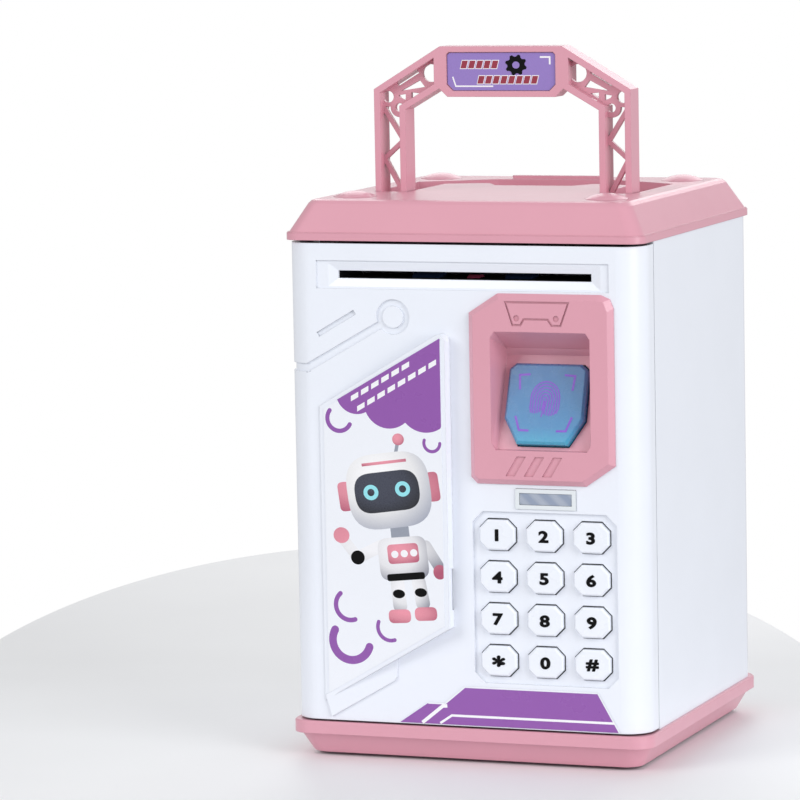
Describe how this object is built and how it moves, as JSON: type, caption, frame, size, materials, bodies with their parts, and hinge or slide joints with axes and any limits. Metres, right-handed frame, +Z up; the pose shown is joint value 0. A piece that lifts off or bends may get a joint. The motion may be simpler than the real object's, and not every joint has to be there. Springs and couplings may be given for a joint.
{
  "type": "toy safe coin bank",
  "caption": "Square toy safe coin bank with a hinged front door, note feeder, finger reader, press keypad, domed lid and a fold-down lattice carrying handle.",
  "frame": {"origin": "centre of the outline on the plane the rubber feet stand on", "axes": "+Z up, the door faces -Y, +X is the viewer's right when facing the door"},
  "size_m": [0.1286, 0.1324, 0.2395],
  "materials": {
    "white_plastic": "cool white moulded plastic, satin gloss",
    "key_plastic": "white moulded keys with printed characters",
    "pink_plastic": "pale pink moulded plastic, satin gloss",
    "violet_print": "violet printed film with a thin clear coat",
    "blue_plastic": "smooth blue plastic",
    "clear_window": "clear window in a white bezel",
    "led_diffuser": "milky diffuser",
    "key_rubber": "dark grey silicone",
    "foot_rubber": "black rubber",
    "roller_rubber": "dark blue rubber, matt",
    "black_plastic": "black moulded plastic, fine texture",
    "circuit_board": "green solder mask",
    "gear_nylon": "natural nylon",
    "shaft_steel": "ground steel",
    "screw_steel": "zinc-plated steel",
    "motor_steel": "drawn steel can",
    "contact_steel": "nickel-plated spring steel",
    "pinion_brass": "machined brass",
    "cell_jacket": "printed battery jacket, plain"
  },
  "bodies": {
    "safe": {"base_tray": "pink_plastic", "rubber_feet": "foot_rubber", "base_screws": "screw_steel", "body_shell": "white_plastic", "hinge_pins": "shaft_steel", "lid": "pink_plastic", "lid_screws": "screw_steel", "lid_studs": "pink_plastic"},
    "handle_bail": {"handle": "pink_plastic", "handle_label": "violet_print"},
    "door": {"door_panel": "white_plastic", "door_cover": "white_plastic", "cover_screws": "screw_steel", "door_picture": "violet_print", "lower_sticker": "violet_print", "reader_frame": "pink_plastic", "reader_switch": "circuit_board", "led_window": "clear_window", "led_bar": "led_diffuser", "keypad_membrane": "key_rubber", "main_board": "circuit_board", "board_screws": "screw_steel", "speaker": "black_plastic", "feeder_frame": "black_plastic", "feeder_motor": "motor_steel", "lock_case": "black_plastic", "lock_motor": "motor_steel", "battery_box": "black_plastic", "battery_cells": "cell_jacket", "battery_contacts": "contact_steel", "battery_cover": "white_plastic", "battery_screw": "screw_steel"},
    "finger_pad": {"reader_pad": "blue_plastic"},
    "feed_drive": {"feed_shaft": "shaft_steel", "feed_rollers": "roller_rubber", "feed_hub": "pink_plastic", "feed_gear": "gear_nylon"},
    "pinch_roll": {"pinch_shaft": "shaft_steel", "pinch_rollers": "roller_rubber"},
    "motor_shaft": {"motor_pinion": "pinion_brass"},
    "bolt": {"lock_bolt": "shaft_steel"},
    "bolt_gear": {"lock_pinion": "gear_nylon"},
    "press_1": {"key_1": "key_plastic"},
    "press_2": {"key_2": "key_plastic"},
    "press_3": {"key_3": "key_plastic"},
    "press_4": {"key_4": "key_plastic"},
    "press_5": {"key_5": "key_plastic"},
    "press_6": {"key_6": "key_plastic"},
    "press_7": {"key_7": "key_plastic"},
    "press_8": {"key_8": "key_plastic"},
    "press_9": {"key_9": "key_plastic"},
    "press_star": {"key_star": "key_plastic"},
    "press_0": {"key_0": "key_plastic"},
    "press_hash": {"key_hash": "key_plastic"}
  },
  "joints": [
    {"name": "door_hinge", "type": "hinge", "parent": "safe", "child": "door", "pos_m": [-0.0542, -0.05235, 0.0126], "axis": [0, 0, -1], "range_deg": [0, 105]},
    {"name": "handle_fold", "type": "hinge", "parent": "safe", "child": "handle_bail", "pos_m": [0, -0.01315, 0.185], "axis": [-1, 0, 0], "range_deg": [0, 90]},
    {"name": "pad_press", "type": "slide", "parent": "door", "child": "finger_pad", "axis": [0, 0.9397, -0.342], "range_m": [0, 0.001], "stiffness_N_per_m": 400, "springref_m": -0.0004},
    {"name": "feed_turn", "type": "hinge", "parent": "door", "child": "feed_drive", "pos_m": [0, -0.04565, 0.1597], "axis": [1, 0, 0], "continuous": true},
    {"name": "pinch_turn", "type": "hinge", "parent": "door", "child": "pinch_roll", "pos_m": [0, -0.04565, 0.1687], "axis": [1, 0, 0], "continuous": true},
    {"name": "motor_turn", "type": "hinge", "parent": "door", "child": "motor_shaft", "pos_m": [0, -0.04065, 0.14879], "axis": [1, 0, 0], "continuous": true},
    {"name": "bolt_slide", "type": "slide", "parent": "door", "child": "bolt", "axis": [1, 0, 0], "range_m": [0, 0.0056]},
    {"name": "bolt_gear_turn", "type": "hinge", "parent": "door", "child": "bolt_gear", "pos_m": [0.0362, -0.03955, 0.1001], "axis": [0, 0, 1], "range_deg": [0, 76.5]},
    {"name": "push_1", "type": "slide", "parent": "door", "child": "press_1", "axis": [0, 1, 0], "range_m": [0, 0.0015], "stiffness_N_per_m": 300, "springref_m": -0.0003},
    {"name": "push_2", "type": "slide", "parent": "door", "child": "press_2", "axis": [0, 1, 0], "range_m": [0, 0.0015], "stiffness_N_per_m": 300, "springref_m": -0.0003},
    {"name": "push_3", "type": "slide", "parent": "door", "child": "press_3", "axis": [0, 1, 0], "range_m": [0, 0.0015], "stiffness_N_per_m": 300, "springref_m": -0.0003},
    {"name": "push_4", "type": "slide", "parent": "door", "child": "press_4", "axis": [0, 1, 0], "range_m": [0, 0.0015], "stiffness_N_per_m": 300, "springref_m": -0.0003},
    {"name": "push_5", "type": "slide", "parent": "door", "child": "press_5", "axis": [0, 1, 0], "range_m": [0, 0.0015], "stiffness_N_per_m": 300, "springref_m": -0.0003},
    {"name": "push_6", "type": "slide", "parent": "door", "child": "press_6", "axis": [0, 1, 0], "range_m": [0, 0.0015], "stiffness_N_per_m": 300, "springref_m": -0.0003},
    {"name": "push_7", "type": "slide", "parent": "door", "child": "press_7", "axis": [0, 1, 0], "range_m": [0, 0.0015], "stiffness_N_per_m": 300, "springref_m": -0.0003},
    {"name": "push_8", "type": "slide", "parent": "door", "child": "press_8", "axis": [0, 1, 0], "range_m": [0, 0.0015], "stiffness_N_per_m": 300, "springref_m": -0.0003},
    {"name": "push_9", "type": "slide", "parent": "door", "child": "press_9", "axis": [0, 1, 0], "range_m": [0, 0.0015], "stiffness_N_per_m": 300, "springref_m": -0.0003},
    {"name": "push_star", "type": "slide", "parent": "door", "child": "press_star", "axis": [0, 1, 0], "range_m": [0, 0.0015], "stiffness_N_per_m": 300, "springref_m": -0.0003},
    {"name": "push_0", "type": "slide", "parent": "door", "child": "press_0", "axis": [0, 1, 0], "range_m": [0, 0.0015], "stiffness_N_per_m": 300, "springref_m": -0.0003},
    {"name": "push_hash", "type": "slide", "parent": "door", "child": "press_hash", "axis": [0, 1, 0], "range_m": [0, 0.0015], "stiffness_N_per_m": 300, "springref_m": -0.0003}
  ],
  "couplings": [
    {"joint": "pinch_turn", "follows": "feed_turn", "ratio": -1.7188},
    {"joint": "motor_turn", "follows": "feed_turn", "ratio": -3},
    {"joint": "bolt_gear_turn", "follows": "bolt_slide", "rad_per_m": 238.1}
  ]
}
